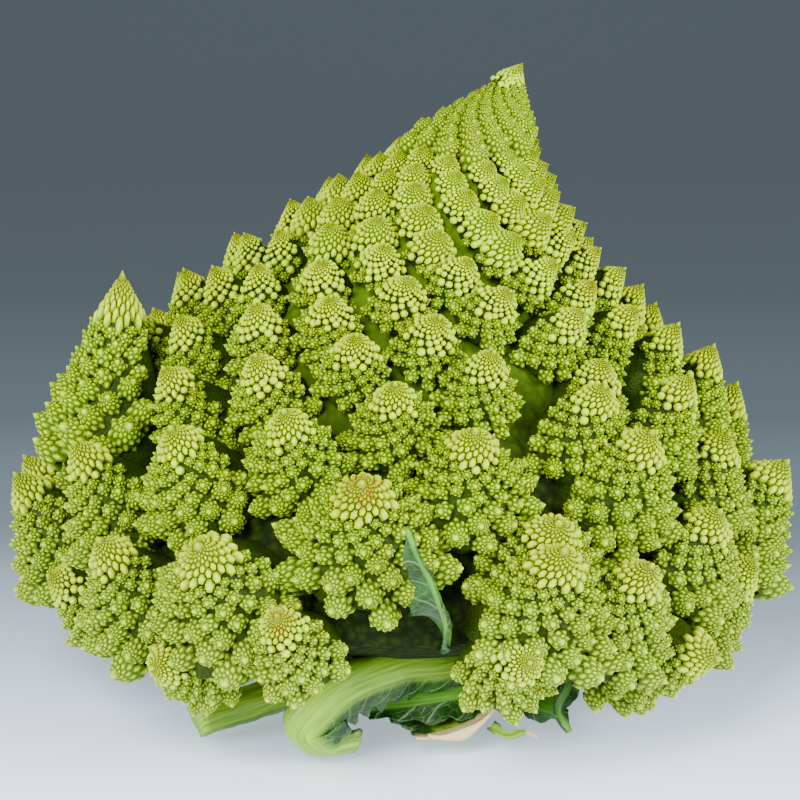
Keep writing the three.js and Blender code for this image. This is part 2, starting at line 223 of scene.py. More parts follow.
def lean_angle(z):
    return math.atan2(lean_at(z + 1) - lean_at(z - 1), 2)


def floret_width(s):
    return min(GROWTH * s, LARGEST_FLORET)


def floret_distances():
    """Distance down the flank of every floret: each takes up its own area of the dome."""
    distances = []
    s = FIRST_FLORET
    while s < LAST_FLORET:
        distances.append(s)
        s += PACKING * floret_width(s) ** 2 / (2 * math.pi * flank_point(s)[0])
    return distances


DISTANCES = floret_distances()


def floret_tilt(s):
    edge = min(max((s - LOWER_EDGE) / EDGE_LENGTH, 0), 1)
    return UPPER_TILT + FLANK_TILT * (s / LOWER_EDGE) ** 3 + EDGE_TILT * edge * edge * (3 - 2 * edge)


def tipped(v, angle):
    """A vector turned about +Y, the way the head leans."""
    c, s = math.cos(angle), math.sin(angle)
    return Vector((v.x * c + v.z * s, v.y, v.z * c - v.x * s))


def floret(index):
    """One floret's tip, root, axis and width, in metres."""
    change = OUT_OF_LINE.get(index, {})
    draw = random.Random(SEED + index)
    phase = draw.uniform(0, 2 * math.pi)
    s = DISTANCES[index] + change.get("slide", 0)
    width = floret_width(s)
    s += draw.uniform(-0.05, 0.05) * width
    r, z = flank_point(s)
    shift = draw.uniform(-1.0, 1.0) * STRAY_TURN * min(1.0, width / SMALL)
    turn = math.radians(FIRST_TURN + index * GOLDEN_ANGLE + change.get("turn", 0) + shift)
    outward = Vector((math.sin(turn), -math.cos(turn), 0))
    outwards = YOUNG_TILT * min(1.0, max(0.0, (LARGE + 6 - width) / 10))
    tilt = change.get("tilt", floret_tilt(s) + outwards) + draw.uniform(-STRAY_TILT, STRAY_TILT)
    tilt = math.radians(tilt)
    axis = tipped(outward * math.sin(tilt) + Vector((0, 0, math.cos(tilt))), lean_angle(z))
    centre = outward * r + Vector((lean_at(z), 0, z))
    sink = BUD_SINK + (FLORET_SINK - BUD_SINK) * min(1.0, width / LARGE)
    tip = centre + axis * (FLORET_REACH * width + change.get("reach", 0))
    root = centre - axis * sink * width
    across = axis.cross(outward).normalized()
    down = across.cross(axis).normalized()
    return {
        "tip": MIDDLE_OF_HEAD + tip * MM,
        "axis": axis,
        "across": across,
        "down": down,
        "start": down * math.cos(phase) + across * math.sin(phase),
        "phase": phase,
        "width": width * MM,
        "thick": width * SWOLLEN.get(index, 1.0) * STUNTED.get(index, 1.0) * draw.uniform(0.96, 1.06) * MM,
        "length": (tip - root).length * DEEPER * STUNTED.get(index, 1.0) * MM,
        "brown": float(index in BROWNED),
        "turn": math.degrees(turn) % 360,
    }


FLORETS = [floret(index) for index in range(len(DISTANCES))]


# Meshes of the studded cones

def short_turn(steps):
    turn = math.fmod(steps * GOLDEN_ANGLE, 360)
    if turn > 180:
        turn -= 360
    if turn < -180:
        turn += 360
    return turn


def studded_cone(name, studs, spirals, growth, outline, last, top, lift, round_from=999, painted_foot_shade=0.0):
    """A closed cone of width 1, tip up, with a spiral lattice of studs, six faces to a stud.

    outline is its girth and how quickly that is reached, last is the depth of the lowest stud and top
    the height of the tip. Studs from number round_from on are domed, with 18 faces.
    """
    near, far = spirals
    verts, rises, faces, known = [], [], [], {}

    def place(depth, angle, rise):
        girth = outline[0] * (1 - math.exp(-outline[1] * depth)) + rise * lift * depth * 0.75
        height = top - depth + rise * lift * depth * 0.65
        return Vector((girth * math.cos(angle), girth * math.sin(angle), height))

    def corner(key, depth, angle, rise):
        if key not in known:
            known[key] = len(verts)
            verts.append(place(depth, angle, rise))
            rises.append(rise)
        return known[key]

    def depth_of(j):
        return last * math.exp((j - studs) * growth)

    def valley(kind, j):
        points = (j, j + near + far, j + (near if kind == "a" else far))
        depth = sum(depth_of(p) for p in points) / 3
        turn = j * GOLDEN_ANGLE + sum(short_turn(p - j) for p in points) / 3
        return corner((kind, j), depth, math.radians(turn), 0.0)

    for j in range(studs):
        peak = corner(("p", j), depth_of(j), math.radians(j * GOLDEN_ANGLE), 1.0)
        ring = [
            valley("a", j),
            valley("b", j),
            valley("a", j - near),
            valley("b", j - near - far),
            valley("a", j - near - far),
            valley("b", j - far),
        ]
        if j < round_from:
            faces.extend((peak, ring[k], ring[(k + 1) % 6]) for k in range(6))
            continue
        low = place(depth_of(j), math.radians(j * GOLDEN_ANGLE), 0.0)
        shoulder = len(verts)
        for k in range(6):
            verts.append(low.lerp(verts[ring[k]], 0.62) + (verts[peak] - low) * 0.8)
            rises.append(0.8)
        for k in range(6):
            after = (k + 1) % 6
            faces.append((peak, shoulder + k, shoulder + after))
            faces.append((shoulder + k, ring[k], ring[after]))
            faces.append((shoulder + k, ring[after], shoulder + after))

    edges = {}
    for face in faces:
        for k in range(3):
            a, b = face[k], face[(k + 1) % 3]
            if edges.pop((b, a), None) is None:
                edges[(a, b)] = True
    middle = top - depth_of(studs / 2)
    tip = len(verts)
    verts.append((0, 0, top))
    rises.append(1.0)
    foot = len(verts)
    verts.append((0, 0, top - last * 1.15))
    rises.append(0.0)
    faces.extend((b, a, tip if verts[a][2] > middle else foot) for a, b in edges)
    made = template(name, verts, faces, rises, sharp=True)
    if painted_foot_shade:
        # Painted shade, partly the deeper green the tissue has there: the foot of a cone lies in the crevice
        # between its neighbours, so its rise is lowered towards the foot
        depths = [min(1.0, (top - vertex.co.z) / last) for vertex in made.data.vertices]
        rises_with_painted_shade = [rise - painted_foot_shade * max(0.0, depth) ** 2 for rise, depth in zip(rises, depths)]
        made.data.attributes["rise"].data.foreach_set("value", rises_with_painted_shade)
    return made


def floret_tip(name, studs, girth, taper, round_from):
    """The studded tip of a floret: the start of the spiral that its cones go on with."""
    depth = FLORET_LENGTH * math.exp((studs - 1 - ALL_CONES) * CONE_GROWTH)
    outline = (girth, taper / FLORET_LENGTH)
    spirals = (8, 13)
    made = studded_cone(name, studs, spirals, CONE_GROWTH, outline, depth, 0, TIP_LIFT, round_from)
    share = made.data.attributes.new("share", "FLOAT", "POINT")
    share.data.foreach_set("value", [-vertex.co.z / FLORET_LENGTH for vertex in made.data.vertices])
    return made


def ring(radius, height, sides, turned=0.0):
    """Points of a level ring, turned by a share of one side."""
    angles = [2 * math.pi * (k + turned) / sides for k in range(sides)]
    return [(radius * math.cos(angle), radius * math.sin(angle), height) for angle in angles]


def ringed_faces(sides, levels, halved=False):
    """Faces from a first vertex through rings of vertices to a last one, in quads or halved."""
    faces = []
    lowest = 1 + (levels - 1) * sides
    for k in range(sides):
        after = (k + 1) % sides
        faces.append((0, 1 + k, 1 + after))
        for level in range(levels - 1):
            a, b = 1 + level * sides + k, 1 + level * sides + after
            c, d = a + sides, b + sides
            faces += [(a, c, b), (b, c, d)] if halved else [(a, c, d, b)]
        faces.append((lowest + k, lowest + sides, lowest + after))
    return faces


def floret_body(name, whole_girth, taper):
    """The smooth body under a floret's cones, tip at the origin, of width 1."""
    sides = 8
    levels = (0.15, 0.35, 0.55, 0.7)
    verts = [(0, 0, -0.04)]
    for share in levels:
        girth = 0.96 * whole_girth * (1 - math.exp(-taper * share))
        verts += ring(girth, -FLORET_LENGTH * share, sides)
    verts.append((0, 0, -FLORET_LENGTH * 1.35))
    faces = ringed_faces(sides, len(levels))
    # Its rise of -0.8 gives it the curd's painted shade, nearly as dark as the deepest valleys
    made = template(name, verts, faces, [-0.8] * len(verts), sharp=False)
    made.data.attributes.new("share", "FLOAT", "POINT").data.foreach_set("value", [1.0] * len(verts))
    return made


def smooth_bud(name):
    """A round bud of width 1, tip up."""
    # The lower ring and the foot have low rises, so the curd's painted shade darkens them
    sides, rings = 7, ((0.27, 0.42, 0.85), (0.45, 0.18, 0.4), (0.47, -0.14, -0.5))
    verts = [(0, 0, 0.54)]
    rises = [1.0]
    for level, (radius, height, rise) in enumerate(rings):
        verts += ring(radius, height, sides, turned=0.5 * level)
        rises += [rise] * sides
    verts.append((0, 0, -0.5))
    rises.append(-0.8)
    return template(name, verts, ringed_faces(sides, len(rings), halved=True), rises, sharp=False)


def placed(name, data):
    """A new object with this data, in the scene."""
    made = bpy.data.objects.new(name, data)
    bpy.context.scene.collection.objects.link(made)
    return made


def outward_mesh(name, verts, faces):
    mesh = bpy.data.meshes.new(name)
    mesh.from_pydata(verts, [], faces)
    volume = sum(Vector(verts[f[0]]).dot(Vector(verts[f[1]]).cross(Vector(verts[f[2]]))) for f in faces)
    if volume < 0:
        mesh.flip_normals()
    return mesh


def template(name, verts, faces, rises, sharp):
    mesh = outward_mesh(name, verts, faces)
    mesh.attributes.new("rise", "FLOAT", "POINT").data.foreach_set("value", rises)
    mesh.shade_smooth()
    if sharp:
        mark = mesh.attributes.new("sharp_edge", "BOOLEAN", "EDGE")
        peaks = {i for i, rise in enumerate(rises) if rise > 0}
        mark.data.foreach_set("value", [not (peaks & set(edge.vertices)) for edge in mesh.edges])
    return bpy.data.objects.new(name, mesh)


# What the point of each floret carries
FIELDS = {
    **dict.fromkeys(("axis", "down", "across", "start"), "FLOAT_VECTOR"),
    **dict.fromkeys(("width", "thick", "length", "phase", "brown"), "FLOAT"),
}

# Settings that several nodes share
COLOURS = {"data_type": "RGBA"}
MULTIPLIED = {"data_type": "RGBA", "blend_type": "MULTIPLY"}
NUMBERS = {"data_type": "FLOAT"}


def give(node, **inputs):
    """Sets or links a node's inputs, named or numbered i0, i1.

    A node as a value stands for its first output in use, and a tuple like ("ADD", a, b) for that sum.
    """
    tree = node.id_data
    for key, value in inputs.items():
        number = key[1:]
        by_number = key[0] == "i" and number.isdigit()
        socket = node.inputs[int(number)] if by_number else node.inputs[key.replace("_", " ")]
        if isinstance(value, tuple) and isinstance(value[0], str):
            parts = {f"i{n}": part for n, part in enumerate(value[1:])}
            value = add(tree, f"ShaderNodeMath:{value[0]}", **parts)
        if isinstance(value, bpy.types.Node):
            value = next(output for output in value.outputs if output.enabled)
        if isinstance(value, bpy.types.NodeSocket):
            tree.links.new(value, socket)
        else:
            socket.default_value = value


def add(tree, kind, settings=None, **inputs):
    """A node with its settings and inputs. A kind may end in its operation, after a colon."""
    kind, _, operation = kind.partition(":")
    node = tree.nodes.new(kind)
    if operation:
        node.operation = operation
    for key, value in (settings or {}).items():
        setattr(node, key, value)
    give(node, **inputs)
    return node


def set_stops(ramp, stops):
    """Gives a colour ramp its stops, a dictionary of places and colours."""
    elements = ramp.color_ramp.elements
    places = list(stops)
    elements[0].position, elements[1].position = places[0], places[-1]
    for place in places[1:-1]:
        elements.new(place)
    for element, shade in zip(elements, stops.values()):
        element.color = linear(shade)


def new_material(name):
    """A material, with its node tree and its shader."""
    material = bpy.data.materials.new(name)
    material.use_nodes = True
    return material, material.node_tree, material.node_tree.nodes["Principled BSDF"]


def group_with_inputs(name, inputs):
    tree = bpy.data.node_groups.new(name, "GeometryNodeTree")
    tree.interface.new_socket("Geometry", in_out="INPUT", socket_type="NodeSocketGeometry")
    tree.interface.new_socket("Geometry", in_out="OUTPUT", socket_type="NodeSocketGeometry")
    for kind, titles in inputs.items():
        for title in titles:
            tree.interface.new_socket(title, in_out="INPUT", socket_type=f"NodeSocket{kind}")
    return tree, tree.nodes.new("NodeGroupInput").outputs, tree.nodes.new("NodeGroupOutput").inputs


def cone_tree():
    """Points at floret tips become florets covered in cones, set out by the spiral rule."""
    tree, given, made = group_with_inputs(
        "romanesco_florets",
        {
            "Int": ("Cones", "First Cone", "Last Cone", "Seed"),
            "Float": (
                "Golden Angle", "Growth", "Cone Width", "Girth", "Taper",
                "Length", "Tip Tilt", "Base Tilt", "Coarse Width", "Fine Width",
            ),
            "Collection": ("Cone Shapes",),
            "Object": ("Tip Shape", "Body Shape"),
            "Material": ("Material",),
        },
    )
    points = add(tree, "GeometryNodeMeshToPoints", Mesh=given["Geometry"])
    copies = add(
        tree, "GeometryNodeDuplicateElements", {"domain": "POINT"}, Geometry=points, Amount=given["Cones"]
    )
    number = copies.outputs["Duplicate Index"]
    axis, down, across, start, thick, length, phase = (
        add(tree, "GeometryNodeInputNamedAttribute", {"data_type": FIELDS[name]}, Name=name)
        for name in ("axis", "down", "across", "start", "thick", "length", "phase")
    )

    # Share of the way from the floret's tip to its root
    place_in_spiral = add(tree, "ShaderNodeMath:ADD", i0=number, i1=given["First Cone"])
    steps = ("SUBTRACT", place_in_spiral, given["Last Cone"])
    share = add(tree, "ShaderNodeMath:EXPONENT", i0=("MULTIPLY", steps, given["Growth"]))
    wobble = add(
        tree, "FunctionNodeRandomValue", NUMBERS, i2=-CONE_STRAY, i3=CONE_STRAY, Seed=given["Seed"]
    )
    degrees = ("ADD", ("MULTIPLY", place_in_spiral, given["Golden Angle"]), wobble)
    angle = add(tree, "ShaderNodeMath:ADD", i0=("RADIANS", degrees), i1=phase)
    radial = add(
        tree, "ShaderNodeVectorMath:ADD",
        i0=add(tree, "ShaderNodeVectorMath:SCALE", i0=down, Scale=("COSINE", angle)),
        i1=add(tree, "ShaderNodeVectorMath:SCALE", i0=across, Scale=("SINE", angle)),
    )
    fall = ("EXPONENT", ("MULTIPLY", ("MULTIPLY", share, given["Taper"]), -1.0))
    girth = add(
        tree, "ShaderNodeMath:MULTIPLY", i0=("MULTIPLY", thick, given["Girth"]), i1=("SUBTRACT", 1.0, fall)
    )
    depth = add(tree, "ShaderNodeMath:MULTIPLY", i0=share, i1=length)
    place = add(
        tree, "ShaderNodeVectorMath:ADD",
        i0=add(tree, "ShaderNodeVectorMath:SCALE", i0=radial, Scale=girth),
        i1=add(tree, "ShaderNodeVectorMath:SCALE", i0=axis, Scale=("MULTIPLY", depth, -1.0)),
    )
    moved = add(tree, "GeometryNodeSetPosition", Geometry=copies.outputs["Geometry"], Offset=place)

    # Cones lean out more the further they are from the tip
    lean_out = ("SUBTRACT", given["Base Tilt"], given["Tip Tilt"])
    tilt = add(tree, "ShaderNodeMath:RADIANS", i0=("ADD", given["Tip Tilt"], ("MULTIPLY", lean_out, share)))
    direction = add(
        tree, "ShaderNodeVectorMath:ADD",
        i0=add(tree, "ShaderNodeVectorMath:SCALE", i0=axis, Scale=("COSINE", tilt)),
        i1=add(tree, "ShaderNodeVectorMath:SCALE", i0=radial, Scale=("SINE", tilt)),
    )
    rotation = add(tree, "FunctionNodeAlignRotationToVector", {"axis": "Z"}, Vector=direction)
    spread = add(
        tree, "FunctionNodeRandomValue", NUMBERS, i2=CONE_SIZES[0], i3=CONE_SIZES[1], Seed=given["Seed"]
    )
    spacing = ("SQRT", ("MULTIPLY", girth, depth))
    size = add(tree, "ShaderNodeMath:MULTIPLY", i0=("MULTIPLY", spacing, given["Cone Width"]), i1=spread)
    kind = (
        "ADD", ("GREATER_THAN", size, given["Coarse Width"]), ("GREATER_THAN", size, given["Fine Width"])
    )
    kept = add(
        tree, "GeometryNodeStoreNamedAttribute", {"data_type": "FLOAT", "domain": "POINT"}, Geometry=moved,
        Name="share", Value=share,
    )
    shapes = add(tree, "GeometryNodeCollectionInfo", i0=given["Cone Shapes"], i1=True, i2=True)
    # Cones that the neighbours up the head press flat are left out, more of them further from the tip
    hidden_side = add(tree, "ShaderNodeMapRange", i0=share, i1=0.3, i2=0.75, i3=-0.75, i4=0.1)
    pressed = ("LESS_THAN", ("COSINE", angle), hidden_side)
    cones = add(
        tree, "GeometryNodeInstanceOnPoints", Points=kept, Selection=("SUBTRACT", 1.0, pressed),
        Instance=shapes, Pick_Instance=True, Instance_Index=kind, Rotation=rotation, Scale=size,
    )

    # The studded tip and the smooth body of each floret, in the floret's own frame
    frame_turn = add(
        tree, "FunctionNodeAxesToRotation", {"primary_axis": "Z", "secondary_axis": "X"}, i0=axis, i1=start
    )
    stretch = add(tree, "ShaderNodeCombineXYZ", X=thick, Y=thick, Z=("DIVIDE", length, given["Length"]))
    joined = add(tree, "GeometryNodeJoinGeometry")
    give(joined, i0=cones)
    for shape in ("Tip Shape", "Body Shape"):
        part = add(tree, "GeometryNodeObjectInfo", Object=given[shape]).outputs["Geometry"]
        set_out = add(
            tree, "GeometryNodeInstanceOnPoints", Points=points, Instance=part, Rotation=frame_turn,
            Scale=stretch,
        )
        give(joined, i0=set_out)
    solid = add(tree, "GeometryNodeRealizeInstances", Geometry=joined)
    dressed = add(tree, "GeometryNodeSetMaterial", Geometry=solid, Material=given["Material"])
    tree.links.new(dressed.outputs[0], made["Geometry"])
    return tree


def bud_tree():
    """Points near the top of the head become single buds, the larger ones with studs."""
    tree, given, made = group_with_inputs(
        "romanesco_buds",
        {
            "Float": ("Bud Width", "Coarse Width", "Fine Width"),
            "Collection": ("Cone Shapes",),
            "Material": ("Material",),
        },
    )
    points = add(tree, "GeometryNodeMeshToPoints", Mesh=given["Geometry"])
    axis, start, full_width = (
        add(tree, "GeometryNodeInputNamedAttribute", {"data_type": FIELDS[name]}, Name=name)
        for name in ("axis", "start", "width")
    )
    width = add(tree, "ShaderNodeMath:MULTIPLY", i0=full_width, i1=given["Bud Width"])
    kind = (
        "ADD", ("GREATER_THAN", width, given["Coarse Width"]), ("GREATER_THAN", width, given["Fine Width"])
    )
    turn = add(
        tree, "FunctionNodeAxesToRotation", {"primary_axis": "Z", "secondary_axis": "X"}, i0=axis, i1=start
    )
    shapes = add(tree, "GeometryNodeCollectionInfo", i0=given["Cone Shapes"], i1=True, i2=True)
    buds = add(
        tree, "GeometryNodeInstanceOnPoints", Points=points, Instance=shapes, Pick_Instance=True,
        Instance_Index=kind, Rotation=turn, Scale=width,
    )
    solid = add(tree, "GeometryNodeRealizeInstances", Geometry=buds)
    dressed = add(tree, "GeometryNodeSetMaterial", Geometry=solid, Material=given["Material"])
    tree.links.new(dressed.outputs[0], made["Geometry"])
    return tree


def apex_bud():
    """The very tip of the head, which leans as the dome does there."""
    axis = tipped(Vector((0, 0, 1)), lean_angle(APEX_HEIGHT))
    across = axis.cross(Vector((0, -1, 0))).normalized()
    place = Vector((LEAN, 0, APEX_HEIGHT))
    width = APEX_WIDTH * MM
    return {
        "tip": MIDDLE_OF_HEAD + place * MM,
        "axis": axis,
        "across": across,
        "down": across.cross(axis),
        "start": across,
        "phase": 0.0,
        "width": width,
        "thick": width,
        "length": APEX_LENGTH * width,
        "brown": 0.0,
    }


def floret_points(name, blooms, below=0.0):
    """One vertex at each floret's tip, or a share of its width below, with its frame as attributes."""
    mesh = bpy.data.meshes.new(name)
    places = [bloom["tip"] - bloom["axis"] * bloom["width"] * below for bloom in blooms]
    mesh.from_pydata(places, [], [])
    for key, kind in FIELDS.items():
        layer = mesh.attributes.new(key, kind, "POINT")
        if kind == "FLOAT":
            layer.data.foreach_set("value", [bloom[key] for bloom in blooms])
        else:
            layer.data.foreach_set("vector", [c for bloom in blooms for c in bloom[key]])
    return placed(name, mesh)


def made_by(piece, tree, values):
    """The plain mesh that a tree makes of a piece, which it replaces."""
    modifier = piece.modifiers.new(tree.name, "NODES")
    modifier.node_group = tree
    for item in tree.interface.items_tree:
        if item.in_out == "INPUT" and item.name in values:
            modifier[item.identifier] = values[item.name]
    depsgraph = bpy.context.evaluated_depsgraph_get()
    mesh = bpy.data.meshes.new_from_object(piece.evaluated_get(depsgraph), depsgraph=depsgraph)
    name = piece.name
    bpy.data.objects.remove(piece)
    mesh.name = name
    return placed(name, mesh)


def curd_material():
    """Living floret tissue: matt, slightly translucent, lime green, paler on bud tips and low on the head,
    with painted shade in the valleys between buds.
    """
    material, tree, shader = new_material("romanesco_floret_tissue")
    rise = add(tree, "ShaderNodeAttribute", {"attribute_name": "rise"}).outputs["Fac"]
    place = add(tree, "ShaderNodeTexCoord").outputs["Object"]

    # Painted shade, partly the deeper green the tissue has there: valleys between buds are darker than their
    # tips; rise is -1 in the deepest, 1 at a tip
    level = add(tree, "ShaderNodeMapRange", i0=rise, i1=-1.0, i2=1.0)
    ramp = add(tree, "ShaderNodeValToRGB", i0=level)
    set_stops(ramp, {0: "#1E3004", 0.5: "#456000", 0.66: "#809E00", 0.85: "#B6D000", 1: "#CAE000"})

    # Cloudy patches of yellower growth, about 12 mm across
    cloud = add(tree, "ShaderNodeTexNoise", Vector=place, Scale=80.0, Detail=3.0)
    patch = add(tree, "ShaderNodeMapRange", i0=cloud, i1=0.42, i2=0.62)
    yellowed = add(
        tree, "ShaderNodeMix", MULTIPLIED, i0=("MULTIPLY", patch, 0.5), i6=ramp, i7=linear("#FFF0A8")
    )

    # Florets low on the head saw less sun and stay creamy
    height = add(tree, "ShaderNodeSeparateXYZ", Vector=place).outputs["Z"]
    low = add(tree, "ShaderNodeMapRange", i0=height, i1=0.075, i2=0.015)
    creamy = add(
        tree, "ShaderNodeMix", COLOURS, i0=("MULTIPLY", ("MULTIPLY", low, level), 0.1), i6=yellowed,
        i7=linear("#E4E39A"),
    )

    brown = add(tree, "ShaderNodeAttribute", {"attribute_name": "brown"}).outputs["Fac"]
    share = add(tree, "ShaderNodeAttribute", {"attribute_name": "share"}).outputs["Fac"]
    # The tips of the florets are more golden
    golden = add(
        tree, "ShaderNodeMix", MULTIPLIED,
        i0=add(tree, "ShaderNodeMapRange", i0=share, i1=0.25, i2=0.02, i3=0.0, i4=0.5), i6=creamy,
        i7=linear("#F0D080"),
    )
    # A few of them have browned
    spots = add(tree, "ShaderNodeTexNoise", Vector=place, Scale=500.0, Detail=2.0)
    near = add(tree, "ShaderNodeMapRange", i0=share, i1=0.2, i2=0.02)
    spotted = add(tree, "ShaderNodeMapRange", i0=spots, i1=0.4, i2=0.65)
    browned = ("MULTIPLY", ("MULTIPLY", brown, near), spotted)
    colour = add(tree, "ShaderNodeMix", COLOURS, i0=browned, i6=golden, i7=linear("#8A5A12"))

    # The last buds are about 0.5 mm across, drawn at 0.8 mm so that they show, with painted shade darkening
    # the gaps between them
    cells = add(tree, "ShaderNodeTexVoronoi", Vector=place, Scale=1250.0).outputs["Distance"]
    grain = add(tree, "ShaderNodeMapRange", i0=cells, i1=0.65, i2=0.1)
    painted_shade_between_buds = ("MULTIPLY", ("SUBTRACT", 1.0, grain), 0.55)
    grain_with_painted_shade = add(tree, "ShaderNodeMix", MULTIPLIED, i0=painted_shade_between_buds, i6=colour, i7=linear("#93A84A"))
    bump = add(tree, "ShaderNodeBump", Height=grain, Strength=0.6, Distance=0.00022)
    domed = ("SINE", ("MULTIPLY", ("MAXIMUM", rise, 0.0), math.pi / 2))
    rounded = add(tree, "ShaderNodeBump", Height=domed, Strength=0.7, Distance=0.0004, Normal=bump)
    give(shader, Base_Color=grain_with_painted_shade, Normal=rounded, Roughness=0.46, IOR=1.4, Specular_IOR_Level=0.08)
    give(shader, Subsurface_Weight=0.15, Subsurface_Radius=(0.6, 1.0, 0.1), Subsurface_Scale=0.001)
    return material


def shade_material():
    """The stems between the florets, in painted shade: dull deep green."""
    material, tree, shader = new_material("romanesco_inner_stems")
    place = add(tree, "ShaderNodeTexCoord").outputs["Object"]
    lumps = add(tree, "ShaderNodeTexVoronoi", Vector=place, Scale=400.0).outputs["Distance"]
    level = add(tree, "ShaderNodeMapRange", i0=lumps, i1=0.7, i2=0.1)
    # Painted light: lighter higher up, where the florets are short and light comes between them
    height = add(tree, "ShaderNodeSeparateXYZ", Vector=place).outputs["Z"]
    painted_light_higher_up = add(tree, "ShaderNodeMapRange", i0=height, i1=0.07, i2=0.13, i3=0.0, i4=0.75)
    lumpy = ("MULTIPLY", level, 0.12)
    ramp = add(tree, "ShaderNodeValToRGB", i0=("ADD", painted_light_higher_up, lumpy))
    # Painted shade: near black low down, where the stems lie deepest
    set_stops(ramp, {0: "#101A03", 1: "#5C8004"})
    bump = add(tree, "ShaderNodeBump", Height=level, Strength=0.8, Distance=0.0008)
    give(shader, Base_Color=ramp, Normal=bump, Roughness=0.9, Specular_IOR_Level=0.1)
    return material


def dome_core():
    """The smaller core under the florets, which shows only as shade between them."""
    sides = 40
    rings = []
    for k in range(CORE_RINGS):
        s = CORE_FROM + (CORE_TO - CORE_FROM) * k / (CORE_RINGS - 1)
        r, z = flank_point(s)
        slope = flank_slope(s)
        sink = CORE_SINK * floret_width(s)
        rings.append((r - sink * math.sin(slope), z - sink * math.cos(slope)))
    rings += CORE_FOOT
    verts = [(lean_at(rings[0][1] + 4), 0, rings[0][1] + 4)]
    for r, z in rings:
        verts += [(x + lean_at(z), y, z) for x, y, z in ring(r, z, sides)]
    verts.append((0, 0, CORE_MIDDLE))
    faces = ringed_faces(sides, len(rings))
    places = [MIDDLE_OF_HEAD + Vector(v) * MM for v in verts]
    core = template("floret_core", places, faces, [-1.0] * len(verts), sharp=False)
    bpy.context.scene.collection.objects.link(core)
    return core


def make_curd():
    material = curd_material()
    cone_shapes = bpy.data.collections.new("cone_shapes")
    bud_shapes = bpy.data.collections.new("bud_shapes")
    bud = smooth_bud("cone_0_bud")
    coarse, fine, young = (studded_cone(name, **shape) for name, shape in CONE_SHAPES.items())
    tip = floret_tip("floret_tip", TIP_STUDS, FLORET_GIRTH, FLORET_TAPER, round_from=60)
    young_tip = floret_tip("young_floret_tip", YOUNG_TIP_STUDS, YOUNG_GIRTH, YOUNG_TAPER, round_from=130)
    body = floret_body("floret_body", FLORET_GIRTH, FLORET_TAPER)
    young_body = floret_body("young_floret_body", YOUNG_GIRTH, YOUNG_TAPER)
    for shape in (bud, coarse, fine):
        cone_shapes.objects.link(shape)
    for shape in (bud, coarse, young):
        bud_shapes.objects.link(shape)
    shared = {"Material": material, "Coarse Width": COARSE_CONE, "Fine Width": FINE_CONE}
    values = {
        **shared,
        "Cones": ALL_CONES - LAST_CONES - TIP_STUDS,
        "First Cone": TIP_STUDS,
        "Last Cone": ALL_CONES,
        "Golden Angle": GOLDEN_ANGLE,
        "Growth": CONE_GROWTH,
        "Cone Width": CONE_WIDTH,
        "Girth": FLORET_GIRTH,
        "Taper": FLORET_TAPER,
        "Length": FLORET_LENGTH,
        "Tip Tilt": 36.0,
        "Base Tilt": 72.0,
        "Cone Shapes": cone_shapes,
        "Tip Shape": tip,
        "Body Shape": body,
        "Seed": SEED,
    }
    large, middle, small, tiny = (
        [bloom for bloom in FLORETS if over * MM < bloom["width"] <= upto * MM]
        for over, upto in ((LARGE, LARGEST_FLORET + 1), (MIDDLE, LARGE), (SMALL, MIDDLE), (0, SMALL))
    )
    tree = cone_tree()
    zones = {f"florets_{n}": [b for b in large if b["turn"] // 72 == n] for n in range(5)}
    zones["florets_middle_left"] = [b for b in middle if b["turn"] >= 180]
    zones["florets_middle_right"] = [b for b in middle if b["turn"] < 180]
    pieces = [made_by(floret_points(name, blooms), tree, values) for name, blooms in zones.items()]
    young_values = {
        **values,
        "Cones": ALL_CONES - LAST_CONES - YOUNG_TIP_STUDS,
        "First Cone": YOUNG_TIP_STUDS,
        "Girth": YOUNG_GIRTH,
        "Taper": YOUNG_TAPER,
        "Tip Tilt": 45.0,
        "Tip Shape": young_tip,
        "Body Shape": young_body,
    }
    pieces.append(made_by(floret_points("florets_small", [apex_bud(), *small]), tree, young_values))
    top = floret_points("florets_top", tiny, below=0.5)
    # These single buds have no golden tip
    top.data.attributes.new("share", "FLOAT", "POINT").data.foreach_set("value", [1.0] * len(tiny))
    bud_values = {
        **shared,
        "Bud Width": 1.2,
        "Coarse Width": 0.0018,
        "Fine Width": 0.0026,
        "Cone Shapes": bud_shapes,
    }
    pieces.append(made_by(top, bud_tree(), bud_values))
    core = dome_core()
    core.data.materials.append(shade_material())
    pieces.append(core)
    for shape in (bud, coarse, fine, young, tip, young_tip, body, young_body):
        bpy.data.objects.remove(shape)
    for collection in (cone_shapes, bud_shapes):
        bpy.data.collections.remove(collection)
    for piece in pieces:
        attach(piece, "root")
        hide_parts("curd")


# The stalk and the leaves

# Heights and radii of the stalk, and the flutes round it
STALK = ((0.0, 15.2), (0.6, 16.2), (2.0, 17.0), (9.0, 16.9), (17.0, 16.2), (26.0, 15.5), (34.0, 14.8))
FLUTES = 8
FLUTE_DEPTH = 0.35


def stalk_material():
    """Cut brassica stem: pale green skin with faint strings along it, matt."""
    material, tree, shader = new_material("romanesco_stem_skin")
    place = add(tree, "ShaderNodeTexCoord").outputs["Object"]
    stretched = add(tree, "ShaderNodeMapping", Vector=place, Scale=(1.0, 1.0, 0.06))
    strings = add(tree, "ShaderNodeTexNoise", Vector=stretched, Scale=600.0, Detail=3.0)
    ramp = add(tree, "ShaderNodeValToRGB", i0=strings)
    set_stops(ramp, {0.35: "#9FB35E", 0.7: "#D3DBA4"})
    # The cut foot is creamy pith
    height = add(tree, "ShaderNodeSeparateXYZ", Vector=place).outputs["Z"]
    foot = add(tree, "ShaderNodeMapRange", i0=height, i1=0.0012, i2=0.0002)
    pith = add(tree, "ShaderNodeMix", COLOURS, i0=foot, i6=ramp, i7=linear("#E6E4C2"))
    bump = add(tree, "ShaderNodeBump", Height=strings, Strength=0.4, Distance=0.0004)
    give(shader, Base_Color=pith, Normal=bump, Roughness=0.6, IOR=1.4)
    give(shader, Subsurface_Weight=0.15, Subsurface_Scale=0.002)
    return material


